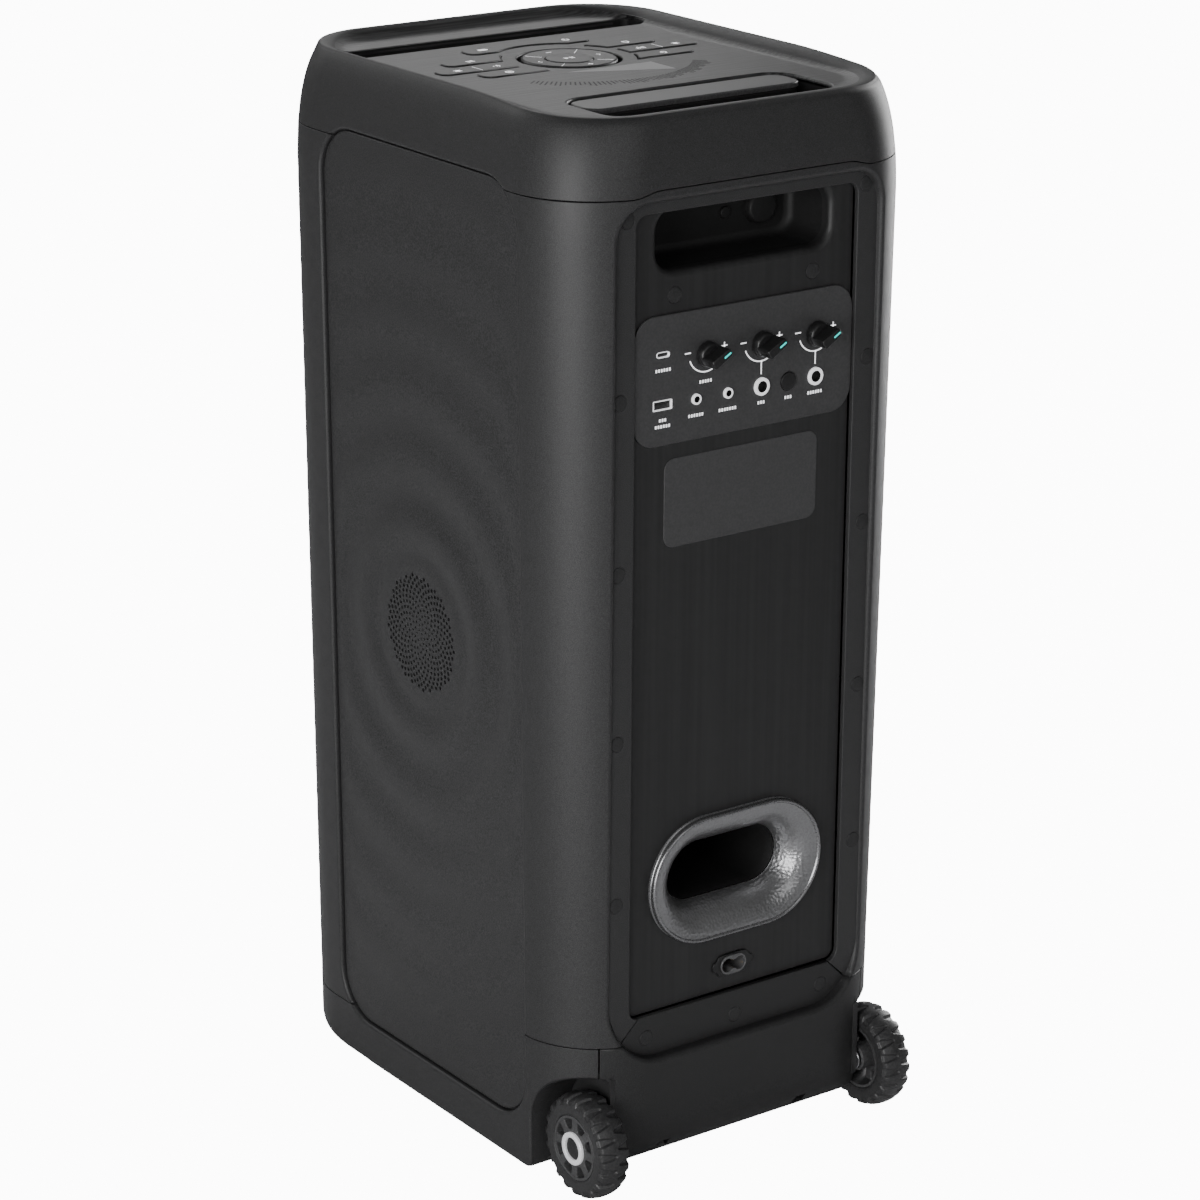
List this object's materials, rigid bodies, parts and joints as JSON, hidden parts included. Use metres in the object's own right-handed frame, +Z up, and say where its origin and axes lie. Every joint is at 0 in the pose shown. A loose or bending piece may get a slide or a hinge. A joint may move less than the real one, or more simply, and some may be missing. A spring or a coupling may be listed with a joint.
{
  "type": "party speaker",
  "caption": "Tall portable party speaker with a flat control deck, telescopic trolley handle, rear control plate, bass port and transport wheels.",
  "frame": {"origin": "on the ground, below the middle of the object's width and depth", "axes": "+Z up, +Y towards the rear with the controls and wheels, -Y towards the front grille, +X towards the right-hand side as seen from the front"},
  "size_m": [0.2568, 0.342, 0.642],
  "materials": {
    "casing_black": "fine textured black plastic",
    "side_panel_black": "textured black plastic with soft ripples",
    "deck_dark": "dark plastic with a fine brushed grain",
    "panel_black": "black plastic with fine upright streaks",
    "plate_black": "satin black plate",
    "label_grey": "matte dark grey plate",
    "port_grey": "dark grey, finely dimpled at the mouth",
    "knob_black": "matte black with a pointer line",
    "pad_dark": "satin dark plastic with pale icons",
    "grip_dark": "satin dark plastic",
    "tube_metal": "satin anodised tube",
    "tyre_rubber": "moulded black tread",
    "hub_grey": "dark grey moulded plastic",
    "bright_steel": "bright steel",
    "cap_black": "black push cap",
    "socket_metal": "bright plated shell",
    "inlet_black": "gloss black moulding",
    "brass_pin": "plated pins",
    "foot_rubber": "black rubber",
    "grille_steel": "black painted perforated steel sheet",
    "baffle_black": "black moulded board",
    "basket_steel": "black painted pressed steel",
    "cone_black": "woven-look black cone",
    "surround_rubber": "soft black rubber",
    "diffuser": "milky translucent ring",
    "board_green": "coated circuit board",
    "pot_metal": "pressed metal body",
    "battery_grey": "shrink-wrapped pack"
  },
  "bodies": {
    "cabinet": {"cabinet_shell": "casing_black", "base_tray": "casing_black", "base_rear_cover": "casing_black", "top_cap": "deck_dark", "right_side_panel": "side_panel_black", "left_side_panel": "side_panel_black", "rear_panel": "panel_black", "carry_pocket": "panel_black", "control_plate": "plate_black", "rating_plate": "label_grey", "bass_port": "port_grey", "mains_inlet": "inlet_black", "inlet_pins": "brass_pin", "usb_c_socket": "socket_metal", "usb_a_socket": "socket_metal", "audio_sockets": "socket_metal", "potentiometers": "pot_metal", "control_board": "board_green", "screw_caps": "cap_black", "rear_screws": "bright_steel", "trolley_sleeves": "tube_metal", "wheel_axle": "bright_steel", "axle_washers": "bright_steel", "axle_caps": "cap_black", "front_feet": "foot_rubber", "front_grille": "grille_steel", "front_baffle": "baffle_black", "woofer_baskets": "basket_steel", "woofer_surrounds": "surround_rubber", "light_rings": "diffuser", "tweeter": "cone_black", "side_driver_frames": "basket_steel", "battery_pack": "battery_grey", "power_supply": "pot_metal", "amplifier_board": "board_green", "button_board": "board_green"},
    "middle_stage": {"trolley_middle_tubes": "tube_metal"},
    "grip": {"trolley_inner_tubes": "tube_metal", "trolley_grip": "grip_dark"},
    "right_wheel": {"right_wheel_hub": "hub_grey", "right_tyre": "tyre_rubber"},
    "left_wheel": {"left_wheel_hub": "hub_grey", "left_tyre": "tyre_rubber"},
    "echo_control": {"echo_knob": "knob_black"},
    "mic_control": {"mic_knob": "knob_black"},
    "guitar_control": {"guitar_knob": "knob_black"},
    "pairing_key": {"pairing_button": "knob_black"},
    "power_key": {"power_bar": "pad_dark"},
    "source_key": {"source_button": "pad_dark"},
    "effects_key": {"effects_button": "pad_dark"},
    "record_key": {"record_button": "pad_dark"},
    "vocal_key": {"vocal_button": "pad_dark"},
    "sound_key": {"sound_button": "pad_dark"},
    "light_key": {"light_button": "pad_dark"},
    "dial": {"dial_ring": "pad_dark"},
    "play_key": {"play_button": "pad_dark"},
    "upper_cone": {"upper_woofer_cone": "cone_black"},
    "lower_cone": {"lower_woofer_cone": "cone_black"},
    "right_cone": {"right_side_cone": "cone_black"},
    "left_cone": {"left_side_cone": "cone_black"}
  },
  "joints": [
    {"name": "lower_stage_slide", "type": "slide", "parent": "cabinet", "child": "middle_stage", "axis": [0, 0, 1], "range_m": [0, 0.2]},
    {"name": "upper_stage_slide", "type": "slide", "parent": "middle_stage", "child": "grip", "axis": [0, 0, 1], "range_m": [0, 0.2]},
    {"name": "right_wheel_spin", "type": "hinge", "parent": "cabinet", "child": "right_wheel", "pos_m": [0.1065, 0.139, 0.032], "axis": [1, 0, 0], "continuous": true},
    {"name": "left_wheel_spin", "type": "hinge", "parent": "cabinet", "child": "left_wheel", "pos_m": [-0.1065, 0.139, 0.032], "axis": [1, 0, 0], "continuous": true},
    {"name": "echo_turn", "type": "hinge", "parent": "cabinet", "child": "echo_control", "pos_m": [0.0273, 0.139, 0.4993], "axis": [0, 1, 0], "range_deg": [-75, 225]},
    {"name": "mic_turn", "type": "hinge", "parent": "cabinet", "child": "mic_control", "pos_m": [-0.0119, 0.139, 0.4993], "axis": [0, 1, 0], "range_deg": [-75, 225]},
    {"name": "guitar_turn", "type": "hinge", "parent": "cabinet", "child": "guitar_control", "pos_m": [-0.051, 0.139, 0.4993], "axis": [0, 1, 0], "range_deg": [-75, 225]},
    {"name": "pairing_press", "type": "slide", "parent": "cabinet", "child": "pairing_key", "axis": [0, -1, 0], "range_m": [0, 0.0008]},
    {"name": "power_press", "type": "slide", "parent": "cabinet", "child": "power_key", "axis": [0, 0, -1], "range_m": [0, 0.0008]},
    {"name": "source_press", "type": "slide", "parent": "cabinet", "child": "source_key", "axis": [0, 0, -1], "range_m": [0, 0.0008]},
    {"name": "effects_press", "type": "slide", "parent": "cabinet", "child": "effects_key", "axis": [0, 0, -1], "range_m": [0, 0.0008]},
    {"name": "record_press", "type": "slide", "parent": "cabinet", "child": "record_key", "axis": [0, 0, -1], "range_m": [0, 0.0008]},
    {"name": "vocal_press", "type": "slide", "parent": "cabinet", "child": "vocal_key", "axis": [0, 0, -1], "range_m": [0, 0.0008]},
    {"name": "sound_press", "type": "slide", "parent": "cabinet", "child": "sound_key", "axis": [0, 0, -1], "range_m": [0, 0.0008]},
    {"name": "light_press", "type": "slide", "parent": "cabinet", "child": "light_key", "axis": [0, 0, -1], "range_m": [0, 0.0008]},
    {"name": "dial_press", "type": "slide", "parent": "cabinet", "child": "dial", "axis": [0, 0, -1], "range_m": [0, 0.0006]},
    {"name": "play_press", "type": "slide", "parent": "cabinet", "child": "play_key", "axis": [0, 0, -1], "range_m": [0, 0.0008]},
    {"name": "upper_cone_stroke", "type": "slide", "parent": "cabinet", "child": "upper_cone", "axis": [0, -1, 0], "range_m": [-0.004, 0.004]},
    {"name": "lower_cone_stroke", "type": "slide", "parent": "cabinet", "child": "lower_cone", "axis": [0, -1, 0], "range_m": [-0.004, 0.004]},
    {"name": "right_cone_stroke", "type": "slide", "parent": "cabinet", "child": "right_cone", "axis": [1, 0, 0], "range_m": [-0.0015, 0.0015]},
    {"name": "left_cone_stroke", "type": "slide", "parent": "cabinet", "child": "left_cone", "axis": [-1, 0, 0], "range_m": [-0.0015, 0.0015]}
  ]
}
